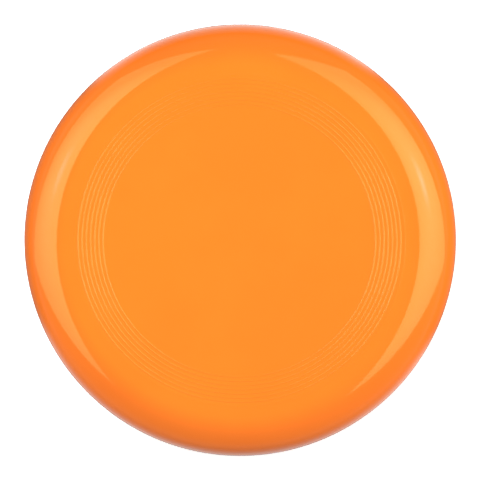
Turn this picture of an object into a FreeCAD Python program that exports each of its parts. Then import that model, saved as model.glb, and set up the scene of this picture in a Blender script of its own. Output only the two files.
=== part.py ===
import FreeCAD, Part
import math
import os

# A flying disc: one thin moulding with a flat top plate, raised rings, a rounded shoulder and a beaded lip.
# Units are millimetres. The disc rests on its lip, hollow side down.
# The origin is at the middle of the lip's foot plane, and +Z is the disc's axis, pointing out of the top plate.

# Overall size
DISC_RADIUS = 115.0
DISC_HEIGHT = 25.0
WALL = 1.6

# Section of the top, from the flat plate over the shoulder to the nose, as two tangent arcs
PLATE_RADIUS = 92.4
SHOULDER_RADIUS = 27.0
NOSE_RADIUS = 16.6

# Raised rings on the plate. One more ring outside them is barely raised.
RING_COUNT = 7
FIRST_RING_RADIUS = 71.6
RING_PITCH = 2.2
RING_WIDTH = 0.8
RING_HEIGHT = 0.15
LOW_RING_HEIGHT = 0.03

# Lip: the wall thickens inwards to a bead, which stands on a narrow flat foot
BEAD_INNER_RADIUS = 111.2
BEAD_HEIGHT = 3.4
BEAD_ROUNDING = 1.0
FOOT_OUTER_ROUNDING = 1.4
FOOT_INNER_ROUNDING = 0.8

# Moulding marks on the underside of the plate
FLOW_PAD_RADIUS = 8.0
FLOW_PAD_THICKNESS = 0.3
GATE_RADIUS = 1.2
GATE_LENGTH = 0.5
EJECTOR_COUNT = 6
EJECTOR_CIRCLE_RADIUS = 60.0
EJECTOR_RADIUS = 3.0
EJECTOR_DEPTH = 0.15

# Heights of the faces under the plate
UNDERSIDE = DISC_HEIGHT - WALL
FLOW_PAD_FACE = UNDERSIDE - FLOW_PAD_THICKNESS
GATE_FACE = FLOW_PAD_FACE - GATE_LENGTH

# The shoulder arc starts level at the plate's edge. The nose arc ends upright at the disc's widest line.
# They share one normal where they meet, and this is its tilt from the disc's axis.
BLEND_ANGLE = math.asin((DISC_RADIUS - PLATE_RADIUS - NOSE_RADIUS) / (SHOULDER_RADIUS - NOSE_RADIUS))
SHOULDER_CENTRE = (PLATE_RADIUS, DISC_HEIGHT - SHOULDER_RADIUS)
NOSE_CENTRE = (
    DISC_RADIUS - NOSE_RADIUS,
    SHOULDER_CENTRE[1] + (SHOULDER_RADIUS - NOSE_RADIUS) * math.cos(BLEND_ANGLE),
)
UPRIGHT = math.pi / 2


def point(r, z):
    """A point of the section, which lies in the XZ plane."""
    return FreeCAD.Vector(r, 0, z)


def line(start, end):
    return Part.makeLine(point(*start), point(*end))


def on_arc(centre, radius, tilt):
    """The point of an arc whose outward normal leans by tilt from +Z."""
    return (centre[0] + radius * math.sin(tilt), centre[1] + radius * math.cos(tilt))


def arc(centre, radius, first_tilt, last_tilt):
    middle_tilt = (first_tilt + last_tilt) / 2
    through = [on_arc(centre, radius, tilt) for tilt in (first_tilt, middle_tilt, last_tilt)]
    return Part.Arc(*[point(*p) for p in through]).toShape()


def rounded_path(corners):
    """Lines through the (r, z, rounding) corners, with an arc in each corner that has a rounding."""
    edges = []
    last = point(*corners[0][:2])
    for corner, following in zip(corners[1:], corners[2:] + [None]):
        tip = point(*corner[:2])
        if following is None or corner[2] == 0:
            edges.append(Part.makeLine(last, tip))
            last = tip
            continue
        incoming = (tip - last).normalize()
        outgoing = (point(*following[:2]) - tip).normalize()
        turn = incoming.getAngle(outgoing)
        setback = corner[2] * math.tan(turn / 2)
        arc_start = tip - incoming * setback
        arc_end = tip + outgoing * setback
        inwards = (outgoing - incoming).normalize()
        arc_middle = tip + inwards * corner[2] * (1 / math.cos(turn / 2) - 1)
        edges.append(Part.makeLine(last, arc_start))
        edges.append(Part.Arc(arc_start, arc_middle, arc_end).toShape())
        last = arc_end
    return edges


def ring_edge(radius, height):
    """The rounded top of one raised ring, as a shallow arc that stands on the plate."""
    return Part.Arc(
        point(radius - RING_WIDTH / 2, DISC_HEIGHT),
        point(radius, DISC_HEIGHT + height),
        point(radius + RING_WIDTH / 2, DISC_HEIGHT),
    ).toShape()


def plate_top():
    """The flat plate from the axis to the shoulder, with its raised rings."""
    heights = [RING_HEIGHT] * RING_COUNT + [LOW_RING_HEIGHT]
    edges = []
    reached = 0.0
    for index, height in enumerate(heights):
        radius = FIRST_RING_RADIUS + index * RING_PITCH
        edges.append(line((reached, DISC_HEIGHT), (radius - RING_WIDTH / 2, DISC_HEIGHT)))
        edges.append(ring_edge(radius, height))
        reached = radius + RING_WIDTH / 2
    edges.append(line((reached, DISC_HEIGHT), (PLATE_RADIUS, DISC_HEIGHT)))
    return edges


def outer_rim():
    """The shoulder, the nose and the rounded outside of the foot, down to the foot plane."""
    foot_arc_distance = NOSE_RADIUS - FOOT_OUTER_ROUNDING
    drop = NOSE_CENTRE[1] - FOOT_OUTER_ROUNDING
    foot_tilt = UPRIGHT + math.asin(drop / foot_arc_distance)
    foot_centre = on_arc(NOSE_CENTRE, foot_arc_distance, foot_tilt)
    edges = [
        arc(SHOULDER_CENTRE, SHOULDER_RADIUS, 0, BLEND_ANGLE),
        arc(NOSE_CENTRE, NOSE_RADIUS, BLEND_ANGLE, foot_tilt),
        arc(foot_centre, FOOT_OUTER_ROUNDING, foot_tilt, math.pi),
    ]
    return edges, foot_centre[0]


def inner_lip(foot_edge_radius):
    """From the foot's outer edge, in along the foot, up the bead and back out to the wall."""
    wall_radius = DISC_RADIUS - WALL
    ledge_rise = wall_radius - BEAD_INNER_RADIUS
    return rounded_path(
        [
            (foot_edge_radius, 0, 0),
            (BEAD_INNER_RADIUS, 0, FOOT_INNER_ROUNDING),
            (BEAD_INNER_RADIUS, BEAD_HEIGHT, BEAD_ROUNDING),
            (wall_radius, BEAD_HEIGHT + ledge_rise, BEAD_ROUNDING),
            (wall_radius, NOSE_CENTRE[1], 0),
        ]
    )


def plate_underside():
    """From the shoulder's inside to the axis, over the flow pad and the gate stub."""
    return rounded_path(
        [
            (PLATE_RADIUS, UNDERSIDE, 0),
            (FLOW_PAD_RADIUS + FLOW_PAD_THICKNESS, UNDERSIDE, 0),
            (FLOW_PAD_RADIUS, FLOW_PAD_FACE, 0),
            (GATE_RADIUS, FLOW_PAD_FACE, 0),
            (GATE_RADIUS, GATE_FACE, 0),
            (0, GATE_FACE, 0),
        ]
    )


def disc_section():
    """The closed half section that is turned about the axis."""
    rim_edges, foot_edge_radius = outer_rim()
    inner_arcs = [
        arc(NOSE_CENTRE, NOSE_RADIUS - WALL, UPRIGHT, BLEND_ANGLE),
        arc(SHOULDER_CENTRE, SHOULDER_RADIUS - WALL, BLEND_ANGLE, 0),
    ]
    top_side = plate_top() + rim_edges
    hollow_side = inner_lip(foot_edge_radius) + inner_arcs + plate_underside()
    axis_edge = line((0, GATE_FACE), (0, DISC_HEIGHT))
    return Part.Face(Part.Wire(top_side + hollow_side + [axis_edge]))


def ejector_marks():
    """Shallow round dents that the mould's ejector pins leave in the underside."""
    marks = []
    for index in range(EJECTOR_COUNT):
        angle = 2 * math.pi * index / EJECTOR_COUNT
        foot = FreeCAD.Vector(
            EJECTOR_CIRCLE_RADIUS * math.cos(angle),
            EJECTOR_CIRCLE_RADIUS * math.sin(angle),
            UNDERSIDE - EJECTOR_DEPTH,
        )
        marks.append(Part.makeCylinder(EJECTOR_RADIUS, 2 * EJECTOR_DEPTH, foot))
    return marks


def disc_body():
    axis_point = FreeCAD.Vector(0, 0, 0)
    axis_direction = FreeCAD.Vector(0, 0, 1)
    turned = disc_section().revolve(axis_point, axis_direction, 360)
    return turned.cut(ejector_marks())


os.makedirs("parts", exist_ok=True)
disc_body().exportStep("parts/disc_body.step")
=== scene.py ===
import math

import bmesh
import bpy
from mathutils import Matrix, Vector


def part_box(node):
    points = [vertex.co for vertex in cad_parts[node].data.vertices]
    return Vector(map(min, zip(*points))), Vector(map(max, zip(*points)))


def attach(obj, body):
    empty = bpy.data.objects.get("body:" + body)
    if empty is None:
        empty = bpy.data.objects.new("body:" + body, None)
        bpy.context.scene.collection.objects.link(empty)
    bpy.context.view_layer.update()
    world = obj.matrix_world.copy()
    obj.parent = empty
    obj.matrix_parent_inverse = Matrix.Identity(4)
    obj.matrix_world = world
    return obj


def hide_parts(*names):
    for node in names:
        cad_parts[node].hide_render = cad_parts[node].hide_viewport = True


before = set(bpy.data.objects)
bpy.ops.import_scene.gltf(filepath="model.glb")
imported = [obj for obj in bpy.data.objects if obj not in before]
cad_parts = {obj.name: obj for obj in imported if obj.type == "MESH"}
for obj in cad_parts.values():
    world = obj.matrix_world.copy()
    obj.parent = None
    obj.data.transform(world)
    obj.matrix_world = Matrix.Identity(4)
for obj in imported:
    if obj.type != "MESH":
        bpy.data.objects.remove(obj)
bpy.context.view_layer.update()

# Everything is in metres, Z up. The disc lies on the floor, hollow side down, with its axis on Z.
MM = 0.001

# Overall size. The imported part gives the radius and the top. The plate lies a ring's height below the top.
NODE_LOW, NODE_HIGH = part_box("disc_body")
DISC_RADIUS = (NODE_HIGH[0] - NODE_LOW[0]) / 2
RING_HEIGHT = 0.15 * MM
PLATE_TOP = NODE_HIGH[2] - RING_HEIGHT
WALL = 1.6 * MM

# Section of the top: a flat plate, then the shoulder and the nose as two tangent arcs
PLATE_RADIUS = 92.4 * MM
SHOULDER_RADIUS = 27.0 * MM
NOSE_RADIUS = 16.6 * MM
BLEND_ANGLE = math.asin((DISC_RADIUS - PLATE_RADIUS - NOSE_RADIUS) / (SHOULDER_RADIUS - NOSE_RADIUS))
SHOULDER_CENTRE = (PLATE_RADIUS, PLATE_TOP - SHOULDER_RADIUS)
NOSE_CENTRE = (
    DISC_RADIUS - NOSE_RADIUS,
    SHOULDER_CENTRE[1] + (SHOULDER_RADIUS - NOSE_RADIUS) * math.cos(BLEND_ANGLE),
)
UPRIGHT = math.pi / 2

# Raised rings on the plate. One more ring outside them is barely raised.
RING_COUNT = 7
FIRST_RING_RADIUS = 71.6 * MM
RING_PITCH = 2.2 * MM
RING_WIDTH = 0.8 * MM
LOW_RING_HEIGHT = 0.03 * MM

# Lip: a bead inside the wall, on a narrow flat foot
BEAD_INNER_RADIUS = 111.2 * MM
BEAD_HEIGHT = 3.4 * MM
BEAD_ROUNDING = 1.0 * MM
FOOT_OUTER_ROUNDING = 1.4 * MM
FOOT_INNER_ROUNDING = 0.8 * MM

# Moulding marks on the underside of the plate
UNDERSIDE = PLATE_TOP - WALL
FLOW_PAD_RADIUS = 8.0 * MM
FLOW_PAD_THICKNESS = 0.3 * MM
GATE_RADIUS = 1.2 * MM
GATE_LENGTH = 0.5 * MM
EJECTOR_COUNT = 6
EJECTOR_CIRCLE_RADIUS = 60.0 * MM
EJECTOR_RADIUS = 3.0 * MM
EJECTOR_DEPTH = 0.15 * MM

# Mesh density
SEGMENTS = 360
PLATE_STEP = 6.0 * MM
RING_STEPS = 8
SHOULDER_STEPS = 28
NOSE_STEPS = 36
ROUNDING_STEPS = 8
EJECTOR_SEGMENTS = 48
SHARP_ANGLE = math.radians(20)
MERGE_DISTANCE = 0.001 * MM

# Polypropylene, coloured through. "gloss" is the range over which its roughness varies.
ORANGE = (0.885, 0.1770, 0.0042)
DEEP_ORANGE = (0.875, 0.1710, 0.0038)
SCUFFED_ORANGE = (0.92, 0.30, 0.06)
PLASTIC_IOR = 1.49
POLISHED, SATIN = 0, 1
FINISHES = [
    {
        "name": "polished_polypropylene",
        "gloss": (0.05, 0.10),
        "grain_scale": 300.0,
        "grain_depth": 0.002 * MM,
    },
    {
        "name": "satin_polypropylene",
        "gloss": (0.30, 0.38),
        "grain_scale": 2200.0,
        "grain_depth": 0.006 * MM,
    },
]

# How the plastic varies. A scale counts the noise's features per metre, and a range is the part of the noise
# that is used.
CLOUD_SCALE = 22.0
CLOUD_DETAIL = 3.0
CLOUD_RANGE = (0.35, 0.65)
SMEAR_SCALE = 45.0
SMEAR_DETAIL = 6.0
SMEAR_RANGE = (0.35, 0.65)
SCUFF_SCALE = 420.0
SCUFF_DETAIL = 5.0
SCUFF_RANGE = (0.45, 0.62)
SCUFF_HEIGHTS = (0.1 * MM, 1.2 * MM)
SCUFF_ROUGHNESS = 0.35
GRAIN_DETAIL = 3.0


def on_arc(centre, radius, tilt):
    """The point (radius, height) of an arc whose outward normal leans by tilt from +Z."""
    return (centre[0] + radius * math.sin(tilt), centre[1] + radius * math.cos(tilt))


def arc_points(centre, radius, first_tilt, last_tilt, steps):
    """Points along an arc, its two ends included."""
    tilts = [first_tilt + (last_tilt - first_tilt) * step / steps for step in range(steps + 1)]
    return [on_arc(centre, radius, tilt) for tilt in tilts]


def rounded_points(corners):
    """Points along a path through (radius, height, rounding) corners. The first and the last are its ends."""
    points = [corners[0][:2]]
    for before, corner, after in zip(corners, corners[1:], corners[2:]):
        tip = Vector(corner[:2])
        incoming = (tip - Vector(before[:2])).normalized()
        outgoing = (Vector(after[:2]) - tip).normalized()
        turn = incoming.angle(outgoing)
        centre = tip + (outgoing - incoming).normalized() * corner[2] / math.cos(turn / 2)
        start = tip - incoming * corner[2] * math.tan(turn / 2)
        spoke = start - centre
        side = 1 if incoming.cross(outgoing) > 0 else -1
        for step in range(ROUNDING_STEPS + 1):
            swing = Matrix.Rotation(side * turn * step / ROUNDING_STEPS, 2)
            points.append(tuple(centre + swing @ spoke))
    points.append(corners[-1][:2])
    return points


def ring_points(radius, height):
    """The rounded top of one raised ring, from its inner foot to its outer foot."""
    half_width = RING_WIDTH / 2
    arc_radius = (half_width**2 + height**2) / (2 * height)
    half_angle = math.acos((arc_radius - height) / arc_radius)
    centre = (radius, PLATE_TOP + height - arc_radius)
    return arc_points(centre, arc_radius, -half_angle, half_angle, RING_STEPS)


def outer_section():
    """From the middle of the plate, over the rings, the shoulder and the nose, to the foot's outer edge."""
    points = [(0.0, PLATE_TOP)]
    plain_steps = math.floor((FIRST_RING_RADIUS - RING_WIDTH) / PLATE_STEP)
    points += [(PLATE_STEP * (step + 1), PLATE_TOP) for step in range(plain_steps)]
    for index in range(RING_COUNT):
        points += ring_points(FIRST_RING_RADIUS + index * RING_PITCH, RING_HEIGHT)
    points += ring_points(FIRST_RING_RADIUS + RING_COUNT * RING_PITCH, LOW_RING_HEIGHT)
    points += arc_points(SHOULDER_CENTRE, SHOULDER_RADIUS, 0, BLEND_ANGLE, SHOULDER_STEPS)
    foot_distance = NOSE_RADIUS - FOOT_OUTER_ROUNDING
    foot_tilt = UPRIGHT + math.asin((NOSE_CENTRE[1] - FOOT_OUTER_ROUNDING) / foot_distance)
    foot_centre = on_arc(NOSE_CENTRE, foot_distance, foot_tilt)
    points += arc_points(NOSE_CENTRE, NOSE_RADIUS, BLEND_ANGLE, foot_tilt, NOSE_STEPS)[1:]
    points += arc_points(foot_centre, FOOT_OUTER_ROUNDING, foot_tilt, math.pi, ROUNDING_STEPS)[1:]
    return points


def inner_section(foot_edge):
    """From the foot's outer edge, over the bead, up inside the wall, to the edge of the flat underside."""
    wall_radius = DISC_RADIUS - WALL
    ledge_top = BEAD_HEIGHT + wall_radius - BEAD_INNER_RADIUS
    lip = rounded_points(
        [
            (foot_edge[0], foot_edge[1], 0),
            (BEAD_INNER_RADIUS, foot_edge[1], FOOT_INNER_ROUNDING),
            (BEAD_INNER_RADIUS, BEAD_HEIGHT, BEAD_ROUNDING),
            (wall_radius, ledge_top, BEAD_ROUNDING),
            (wall_radius, NOSE_CENTRE[1], 0),
        ]
    )
    nose = arc_points(NOSE_CENTRE, NOSE_RADIUS - WALL, UPRIGHT, BLEND_ANGLE, NOSE_STEPS)
    shoulder = arc_points(SHOULDER_CENTRE, SHOULDER_RADIUS - WALL, BLEND_ANGLE, 0, SHOULDER_STEPS)
    return lip + nose[1:] + shoulder[1:]


def gate_section():
    """From the edge of the flow pad to the middle of the gate stub's end."""
    pad_face = UNDERSIDE - FLOW_PAD_THICKNESS
    gate_face = pad_face - GATE_LENGTH
    return [
        (FLOW_PAD_RADIUS + FLOW_PAD_THICKNESS, UNDERSIDE),
        (FLOW_PAD_RADIUS, pad_face),
        (GATE_RADIUS, pad_face),
        (GATE_RADIUS, gate_face),
        (0.0, gate_face),
    ]


def circle(bm, centre, radius, height, segments):
    """A ring of new vertices around a vertical axis."""
    ring = []
    for step in range(segments):
        angle = 2 * math.pi * step / segments
        x = centre[0] + radius * math.cos(angle)
        y = centre[1] + radius * math.sin(angle)
        ring.append(bm.verts.new((x, y, height)))
    return ring


def skin(bm, first, second, material_index):
    """Faces between two rings. A ring of one vertex is a point on the axis."""
    count = max(len(first), len(second))
    for step in range(count):
        corners = [
            first[step % len(first)],
            second[step % len(second)],
            second[(step + 1) % len(second)],
            first[(step + 1) % len(first)],
        ]
        face = bm.faces.new(list(dict.fromkeys(corners)))
        face.material_index = material_index


def lathe(bm, section, material_index):
    """Turns a section about Z and returns its first and last rings."""
    rings = []
    for radius, height in section:
        if radius == 0:
            rings.append([bm.verts.new((0, 0, height))])
        else:
            rings.append(circle(bm, (0, 0), radius, height, SEGMENTS))
    for first, second in zip(rings, rings[1:]):
        skin(bm, first, second, material_index)
    return rings[0], rings[-1]


def loop_edges(bm, ring):
    """The closed chain of edges through a ring, made where it is missing."""
    edges = []
    for start, end in zip(ring, ring[1:] + ring[:1]):
        edges.append(bm.edges.get((start, end)) or bm.edges.new((start, end)))
    return edges


def underside(bm, outer_ring, inner_ring):
    """The flat underside between the shoulder and the flow pad, with a shallow dent for each ejector pin."""
    border = loop_edges(bm, outer_ring) + loop_edges(bm, inner_ring)
    for index in range(EJECTOR_COUNT):
        angle = 2 * math.pi * index / EJECTOR_COUNT
        centre = (EJECTOR_CIRCLE_RADIUS * math.cos(angle), EJECTOR_CIRCLE_RADIUS * math.sin(angle))
        mouth = circle(bm, centre, EJECTOR_RADIUS, UNDERSIDE, EJECTOR_SEGMENTS)
        bottom = circle(bm, centre, EJECTOR_RADIUS, UNDERSIDE + EJECTOR_DEPTH, EJECTOR_SEGMENTS)
        skin(bm, mouth, bottom, SATIN)
        bm.faces.new(bottom).material_index = SATIN
        border += loop_edges(bm, mouth)
    filled = bmesh.ops.triangle_fill(bm, edges=border, use_beauty=True)
    for item in filled["geom"]:
        if isinstance(item, bmesh.types.BMFace):
            item.material_index = SATIN


def disc_mesh():
    """The whole moulding as one closed mesh: the polished outer skin and the satin hollow side."""
    bm = bmesh.new()
    outer = outer_section()
    lathe(bm, outer, POLISHED)
    lip_rings = lathe(bm, inner_section(outer[-1]), SATIN)
    gate_rings = lathe(bm, gate_section(), SATIN)
    underside(bm, lip_rings[1], gate_rings[0])
    bmesh.ops.remove_doubles(bm, verts=bm.verts, dist=MERGE_DISTANCE)
    bmesh.ops.recalc_face_normals(bm, faces=bm.faces)
    for face in bm.faces:
        face.smooth = True
    mesh = bpy.data.meshes.new("flying_disc")
    bm.to_mesh(mesh)
    bm.free()
    mesh.set_sharp_from_angle(angle=SHARP_ANGLE)
    return mesh


def noise(nodes, links, place, scale, detail):
    """Smooth noise from 0 to 1, with about scale features in each metre."""
    texture = nodes.new("ShaderNodeTexNoise")
    texture.inputs["Scale"].default_value = scale
    texture.inputs["Detail"].default_value = detail
    links.new(place, texture.inputs["Vector"])
    return texture.outputs["Fac"]


def ramp(nodes, links, value, from_range, to_range):
    """Maps one range to another, clamped and smooth."""
    mapper = nodes.new("ShaderNodeMapRange")
    mapper.interpolation_type = "SMOOTHSTEP"
    mapper.inputs["From Min"].default_value = from_range[0]
    mapper.inputs["From Max"].default_value = from_range[1]
    mapper.inputs["To Min"].default_value = to_range[0]
    mapper.inputs["To Max"].default_value = to_range[1]
    links.new(value, mapper.inputs["Value"])
    return mapper.outputs["Result"]


def feed(links, sockets, values):
    """Links each socket to its value, or sets it where the value is a plain number or vector."""
    for socket, value in zip(sockets, values):
        if isinstance(value, bpy.types.NodeSocket):
            links.new(value, socket)
        else:
            socket.default_value = value


def calculate(nodes, links, operation, *values):
    """The result of a Math node."""
    node = nodes.new("ShaderNodeMath")
    node.operation = operation
    feed(links, node.inputs, values)
    return node.outputs["Value"]


def calculate_vector(nodes, links, operation, *values):
    """The result of a Vector Math node, which is a number for the operations that measure."""
    node = nodes.new("ShaderNodeVectorMath")
    node.operation = operation
    feed(links, node.inputs, values)
    return node.outputs["Value" if operation in ("DISTANCE", "DOT_PRODUCT") else "Vector"]


def blend(nodes, links, kind, factor, first, second):
    """The first value at factor 0 and the second at factor 1. The kind is FLOAT or RGBA."""
    mix = nodes.new("ShaderNodeMix")
    mix.data_type = kind
    feed(links, (mix.inputs["Factor"], mix.inputs["A"], mix.inputs["B"]), (factor, first, second))
    return mix.outputs["Result"]


def opaque(colour):
    return (*colour, 1.0)


def plastic(name, gloss, grain_scale, grain_depth):
    """Polypropylene with a skin of fine grain, lightly scuffed round the foot."""
    material = bpy.data.materials.new(name)
    material.use_nodes = True
    nodes = material.node_tree.nodes
    links = material.node_tree.links
    shader = nodes["Principled BSDF"]
    place = nodes.new("ShaderNodeTexCoord").outputs["Object"]
    axes = nodes.new("ShaderNodeSeparateXYZ")
    links.new(place, axes.inputs["Vector"])

    # Pigment is spread a little unevenly, in soft clouds of a few centimetres
    cloud_noise = noise(nodes, links, place, CLOUD_SCALE, CLOUD_DETAIL)
    clouds = ramp(nodes, links, cloud_noise, CLOUD_RANGE, (0.0, 1.0))
    pigment = blend(nodes, links, "RGBA", clouds, opaque(ORANGE), opaque(DEEP_ORANGE))

    # The lip is scuffed where it stands, in patches, within about a millimetre of the foot
    low = ramp(nodes, links, axes.outputs["Z"], SCUFF_HEIGHTS, (1.0, 0.0))
    scuff_noise = noise(nodes, links, place, SCUFF_SCALE, SCUFF_DETAIL)
    patches = ramp(nodes, links, scuff_noise, SCUFF_RANGE, (0.0, 1.0))
    scuffs = calculate(nodes, links, "MULTIPLY", low, patches)
    colour = blend(nodes, links, "RGBA", scuffs, pigment, opaque(SCUFFED_ORANGE))
    links.new(colour, shader.inputs["Base Color"])

    # Gloss varies in faint handling smears, and drops in the scuffs
    smear_noise = noise(nodes, links, place, SMEAR_SCALE, SMEAR_DETAIL)
    smears = ramp(nodes, links, smear_noise, SMEAR_RANGE, gloss)
    roughness = calculate(nodes, links, "MULTIPLY_ADD", scuffs, SCUFF_ROUGHNESS, smears)
    links.new(roughness, shader.inputs["Roughness"])

    # The grain is a relief of a few thousandths of a millimetre
    bump = nodes.new("ShaderNodeBump")
    bump.inputs["Distance"].default_value = grain_depth
    links.new(noise(nodes, links, place, grain_scale, GRAIN_DETAIL), bump.inputs["Height"])
    links.new(bump.outputs["Normal"], shader.inputs["Normal"])

    shader.inputs["IOR"].default_value = PLASTIC_IOR
    return material


def build_disc():
    """The moulding that is seen in place of the CAD solid."""
    piece = bpy.data.objects.new("flying_disc", disc_mesh())
    bpy.context.scene.collection.objects.link(piece)
    for finish in FINISHES:
        piece.data.materials.append(plastic(**finish))
    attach(piece, "root")
    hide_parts("disc_body")


# Studio. Angles are in degrees, and brightness is counted with lit white paper as 1.
WARM_WHITE = (1.0, 0.93, 0.385)
COOL_WHITE = (0.75, 0.78, 1.0)
NEUTRAL_WHITE = (1.0, 1.0, 1.0)

# The softboxes are mirrored in the gloss but don't light the plastic. A softbox's face lies square to its
# azimuth and tilt, SOFTBOX_DISTANCE from the disc, and its centre and its hot core are places in that face.
# The face dims from the core to SOFTBOX_EDGE_SHARE at SOFTBOX_REACH. The core has a glow of its own, which
# lies CORE_GAP in front of the face and ends at CORE_REACH.
SOFTBOX_DISTANCE = 2.5
SOFTBOXES = [
    {
        "name": "softbox_right",
        "azimuth": -20.5,
        "tilt": 47.6,
        "roll": 125.1,
        "centre": (2.20, -0.20),
        "size": (4.99, 2.87),
        "core": (1.235, -0.18),
        "radiance": 5.45,
        "core_radiance": 3.3,
    },
    {
        "name": "softbox_left",
        "azimuth": 207.0,
        "tilt": 33.0,
        "roll": 50.8,
        "centre": (-1.86, -1.42),
        "size": (5.07, 3.14),
        "core": (-1.10, -0.83),
        "radiance": 4.9,
        "core_radiance": 2.2,
    },
]
SOFTBOX_REACH = 2.4
SOFTBOX_EDGE_SHARE = 0.41
CORE_GAP = 0.05
CORE_REACH = 0.4
CORE_SIZE = (2 * CORE_REACH, 2 * CORE_REACH)

# The fills and the spot light the plastic but aren't mirrored
FILL_DISTANCE = 0.9
FILLS = [
    {"name": "overhead_fill", "azimuth": 134, "tilt": 21, "size": (0.45, 0.45), "brightness": 0.90},
    {"name": "right_fill", "azimuth": 3, "tilt": 76, "size": (0.3, 0.6), "brightness": 0.90},
    {"name": "left_fill", "azimuth": 195, "tilt": 70, "size": (0.3, 0.6), "brightness": 0.17},
]
SPOT_DISTANCE = 3.0
SPOT_BRIGHTNESS = 0.255
SPOT_RADIUS = 104.5 * MM
SPOT_BLEND = 0.25

# The room's light is even. The gloss mirrors a brighter ceiling, and a table lit behind the disc and in front
# of it, from "horizon" where it is far away to "near" where it is close by. Right beside the disc it is in
# shade. Heights are those of a direction of length 1: 1 is straight up, 0 the horizon and -1 straight down.
ROOM_LIGHT = 0.33
CEILING_MIRRORED = 0.58
TABLE_MIRRORED = 0.33
TABLE_PARTS = [
    {"azimuth": 93, "half_width": 39, "horizon": 0.45, "near": 1.4},
    {"azimuth": 267, "half_width": 62, "horizon": 0.15, "near": 0.86},
]
TABLE_EDGE = 6
TABLE_NEAR_HEIGHT = -0.68
SHADE_HEIGHTS = (-0.98, -0.85)

# Along the horizon the gloss also mirrors the walls. They add light in front and at the sides, and take it
# away at the back. The change comes where a direction's Y is within WALL_BACK_RANGE.
WALL_HEIGHT = 0.07
WALL_REACH = 0.36
WALL_BACK_RANGE = (0.55, 0.90)
WALL_FRONT = 0.18
WALL_BACK = -0.22

BACKDROP_BRIGHTNESS = 1.0

# The camera stands CAMERA_DISTANCE from its aim, in the direction of CAMERA_LEAN. CAMERA_AIM is the aim's X
# and Y, and DISC_SHARE is the disc's part of the picture's width.
CAMERA_DISTANCE = 1.2
CAMERA_LEAN = (0.0177, 0.0125, 1.0)
CAMERA_AIM = (0.10 * MM, 0.18 * MM)
DISC_SHARE = 0.8987
SENSOR_WIDTH = 36.0

FLOOR_SIZE = 6.0
FLOOR_DROP = 0.05 * MM
FLOOR_COLOUR = (0.92, 0.92, 0.91)
FLOOR_ROUGHNESS = 0.8
FLOOR_GLOW = 0.6


def build_floor():
    """A pale table that neither lights the disc nor is mirrored in it.

    It lies a hair below the foot, so that the two faces don't share a plane.
    """
    half = FLOOR_SIZE / 2
    outline = ((-half, -half), (half, -half), (half, half), (-half, half))
    mesh = bpy.data.meshes.new("floor")
    mesh.from_pydata([(x, y, -FLOOR_DROP) for x, y in outline], [], [(0, 1, 2, 3)])
    floor = bpy.data.objects.new("floor", mesh)
    bpy.context.scene.collection.objects.link(floor)
    material = bpy.data.materials.new("pale_table")
    material.use_nodes = True
    shader = material.node_tree.nodes["Principled BSDF"]
    shader.inputs["Base Color"].default_value = opaque(FLOOR_COLOUR)
    shader.inputs["Roughness"].default_value = FLOOR_ROUGHNESS
    shader.inputs["Emission Color"].default_value = opaque(NEUTRAL_WHITE)
    shader.inputs["Emission Strength"].default_value = FLOOR_GLOW
    floor.data.materials.append(material)
    floor.visible_glossy = False
    floor.visible_diffuse = False


def add_lamp(data, rotation, centre, colour):
    """A lamp that shines along its local -Z and is out of the camera's sight."""
    data.color = colour
    lamp = bpy.data.objects.new(data.name, data)
    lamp.matrix_world = Matrix.Translation(centre) @ rotation.to_4x4()
    lamp.visible_camera = False
    bpy.context.scene.collection.objects.link(lamp)
    return lamp


def panel(name, width, height):
    """The data of a rectangular lamp."""
    data = bpy.data.lights.new(name, "AREA")
    data.shape = "RECTANGLE"
    data.size = width
    data.size_y = height
    return data


def panel_rotation(azimuth, tilt, roll):
    """Turns local Z to an azimuth and a tilt from +Z, in degrees, and then rolls about it."""
    heading = Matrix.Rotation(math.radians(azimuth), 3, "Z") @ Matrix.Rotation(math.radians(tilt), 3, "Y")
    return heading @ Matrix.Rotation(math.radians(roll), 3, "Z")


def mirrored_panel(name, rotation, centre, size, radiance, colour):
    """A panel of a given radiance that only the gloss shows."""
    data = panel(name, *size)
    data.energy = radiance * math.pi * size[0] * size[1]
    add_lamp(data, rotation, centre, colour).visible_diffuse = False
    return data


def dim_with_distance(data, place, reach, edge_share):
    """Makes a panel brightest at a place on its face, and dims it to edge_share of that at the reach."""
    data.use_nodes = True
    nodes = data.node_tree.nodes
    links = data.node_tree.links
    position = nodes.new("ShaderNodeNewGeometry").outputs["Position"]
    distance = calculate_vector(nodes, links, "DISTANCE", position, place)
    share = ramp(nodes, links, distance, (0.0, reach), (1.0, edge_share))
    links.new(share, nodes["Emission"].inputs["Strength"])


def build_softboxes():
    """Two large softboxes, left and right of the disc, each brightest at a small hot core in its face."""
    for box in SOFTBOXES:
        name = box["name"]
        rotation = panel_rotation(box["azimuth"], box["tilt"], box["roll"])
        centre = rotation @ Vector((*box["centre"], SOFTBOX_DISTANCE))
        core = rotation @ Vector((*box["core"], SOFTBOX_DISTANCE - CORE_GAP))
        face = mirrored_panel(name, rotation, centre, box["size"], box["radiance"], WARM_WHITE)
        dim_with_distance(face, core, SOFTBOX_REACH, SOFTBOX_EDGE_SHARE)
        glow = mirrored_panel(name + "_core", rotation, core, CORE_SIZE, box["core_radiance"], COOL_WHITE)
        dim_with_distance(glow, core, CORE_REACH, 0.0)


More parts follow.
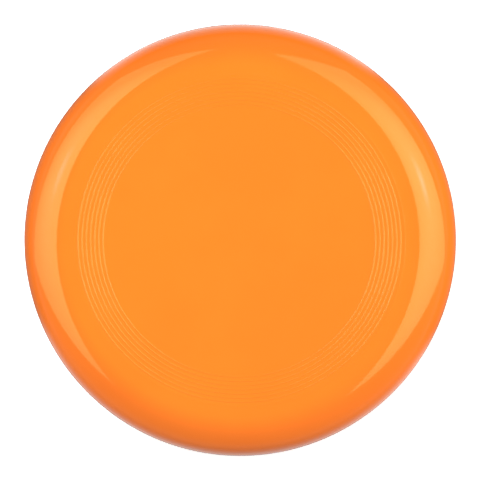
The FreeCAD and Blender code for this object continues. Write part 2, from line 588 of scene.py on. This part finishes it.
def build_fills():
    """Broad lamps that light the disc but aren't mirrored in it."""
    for fill in FILLS:
        data = panel(fill["name"], *fill["size"])
        data.energy = fill["brightness"] * (math.pi * FILL_DISTANCE) ** 2
        # With this on, a fill leaves a false highlight in the gloss, although it is hidden from mirror rays
        data.cycles.use_multiple_importance_sampling = False
        rotation = panel_rotation(fill["azimuth"], fill["tilt"], 0)
        centre = rotation @ Vector((0, 0, FILL_DISTANCE))
        add_lamp(data, rotation, centre, NEUTRAL_WHITE).visible_glossy = False


def build_plate_spot():
    """A soft-edged spotlight from straight above that lights the flat plate more than the shoulder."""
    data = bpy.data.lights.new("plate_spot", "SPOT")
    data.energy = SPOT_BRIGHTNESS * (2 * math.pi * SPOT_DISTANCE) ** 2
    data.spot_size = 2 * math.atan(SPOT_RADIUS / SPOT_DISTANCE)
    data.spot_blend = SPOT_BLEND
    centre = Vector((0, 0, SPOT_DISTANCE))
    add_lamp(data, Matrix.Identity(3), centre, NEUTRAL_WHITE).visible_glossy = False


def table_part(nodes, links, direction, height, part):
    """The light from one lit part of the table, fading out at its sides."""
    azimuth = math.radians(part["azimuth"])
    middle = (math.cos(azimuth), math.sin(azimuth), 0)
    flat = calculate_vector(nodes, links, "MULTIPLY", direction, (1, 1, 0))
    heading = calculate_vector(nodes, links, "NORMALIZE", flat)
    facing = calculate_vector(nodes, links, "DOT_PRODUCT", heading, middle)
    edges = [math.cos(math.radians(part["half_width"] + margin)) for margin in (TABLE_EDGE, -TABLE_EDGE)]
    inside = ramp(nodes, links, facing, edges, (0.0, 1.0))
    light = ramp(nodes, links, height, (TABLE_NEAR_HEIGHT, 0.0), (part["near"], part["horizon"]))
    return calculate(nodes, links, "MULTIPLY", inside, light)


def mirrored_table(nodes, links, direction, height):
    """The whole table, with its lit parts and the shade right beside the disc."""
    lit_parts = [table_part(nodes, links, direction, height, part) for part in TABLE_PARTS]
    lit = calculate(nodes, links, "ADD", *lit_parts)
    table = calculate(nodes, links, "ADD", lit, TABLE_MIRRORED)
    shade = ramp(nodes, links, height, SHADE_HEIGHTS, (0.0, 1.0))
    return calculate(nodes, links, "MULTIPLY", table, shade)


def mirrored_walls(nodes, links, axes):
    """How much light the walls add along the horizon. At the back they take light away."""
    offset = calculate(nodes, links, "SUBTRACT", axes.outputs["Z"], WALL_HEIGHT)
    distance = calculate(nodes, links, "ABSOLUTE", offset)
    nearness = ramp(nodes, links, distance, (0.0, WALL_REACH), (1.0, 0.0))
    brightness = ramp(nodes, links, axes.outputs["Y"], WALL_BACK_RANGE, (WALL_FRONT, WALL_BACK))
    return calculate(nodes, links, "MULTIPLY", nearness, brightness)


def mirrored_surroundings(nodes, links):
    """What mirror rays see: the ceiling above the horizon, the table below it, and the walls along it."""
    direction = nodes.new("ShaderNodeTexCoord").outputs["Generated"]
    axes = nodes.new("ShaderNodeSeparateXYZ")
    links.new(direction, axes.inputs["Vector"])
    height = axes.outputs["Z"]
    above = calculate(nodes, links, "GREATER_THAN", height, 0.0)
    table = mirrored_table(nodes, links, direction, height)
    ceiling_or_table = blend(nodes, links, "FLOAT", above, table, CEILING_MIRRORED)
    return calculate(nodes, links, "ADD", ceiling_or_table, mirrored_walls(nodes, links, axes))


def build_world():
    """An even room, with more for mirror rays to see, and a plain backdrop for the camera."""
    world = bpy.data.worlds.new("studio")
    bpy.context.scene.world = world
    world.use_nodes = True
    # A world that is sampled like a lamp can't tell mirror rays from the others
    world.cycles.sampling_method = "NONE"
    nodes = world.node_tree.nodes
    links = world.node_tree.links
    room = nodes["Background"]
    room.inputs["Color"].default_value = opaque(NEUTRAL_WHITE)
    light_path = nodes.new("ShaderNodeLightPath")
    mirror_ray = light_path.outputs["Is Glossy Ray"]
    surroundings = mirrored_surroundings(nodes, links)
    strength = blend(nodes, links, "FLOAT", mirror_ray, ROOM_LIGHT, surroundings)
    links.new(strength, room.inputs["Strength"])

    backdrop = nodes.new("ShaderNodeBackground")
    backdrop.inputs["Color"].default_value = opaque(NEUTRAL_WHITE)
    backdrop.inputs["Strength"].default_value = BACKDROP_BRIGHTNESS
    choose = nodes.new("ShaderNodeMixShader")
    links.new(light_path.outputs["Is Camera Ray"], choose.inputs["Fac"])
    links.new(room.outputs["Background"], choose.inputs[1])
    links.new(backdrop.outputs["Background"], choose.inputs[2])
    links.new(choose.outputs["Shader"], nodes["World Output"].inputs["Surface"])


def build_camera():
    """Above the disc, about a degree off its axis, with the disc nearly filling the square picture."""
    data = bpy.data.cameras.new("camera")
    data.sensor_width = SENSOR_WIDTH
    camera = bpy.data.objects.new("camera", data)
    backward = Vector(CAMERA_LEAN).normalized()
    rightward = Vector((0, 1, 0)).cross(backward).normalized()
    upward = backward.cross(rightward)
    turn = Matrix((rightward, upward, backward)).transposed()
    target = Vector((*CAMERA_AIM, NOSE_CENTRE[1]))
    camera.matrix_world = Matrix.Translation(target + CAMERA_DISTANCE * backward) @ turn.to_4x4()
    data.lens = SENSOR_WIDTH * DISC_SHARE * CAMERA_DISTANCE / (2 * DISC_RADIUS)
    bpy.context.scene.collection.objects.link(camera)
    bpy.context.scene.camera = camera


build_disc()
build_floor()
build_softboxes()
build_fills()
build_plate_spot()
build_world()
build_camera()
bpy.context.scene.view_settings.view_transform = "Standard"
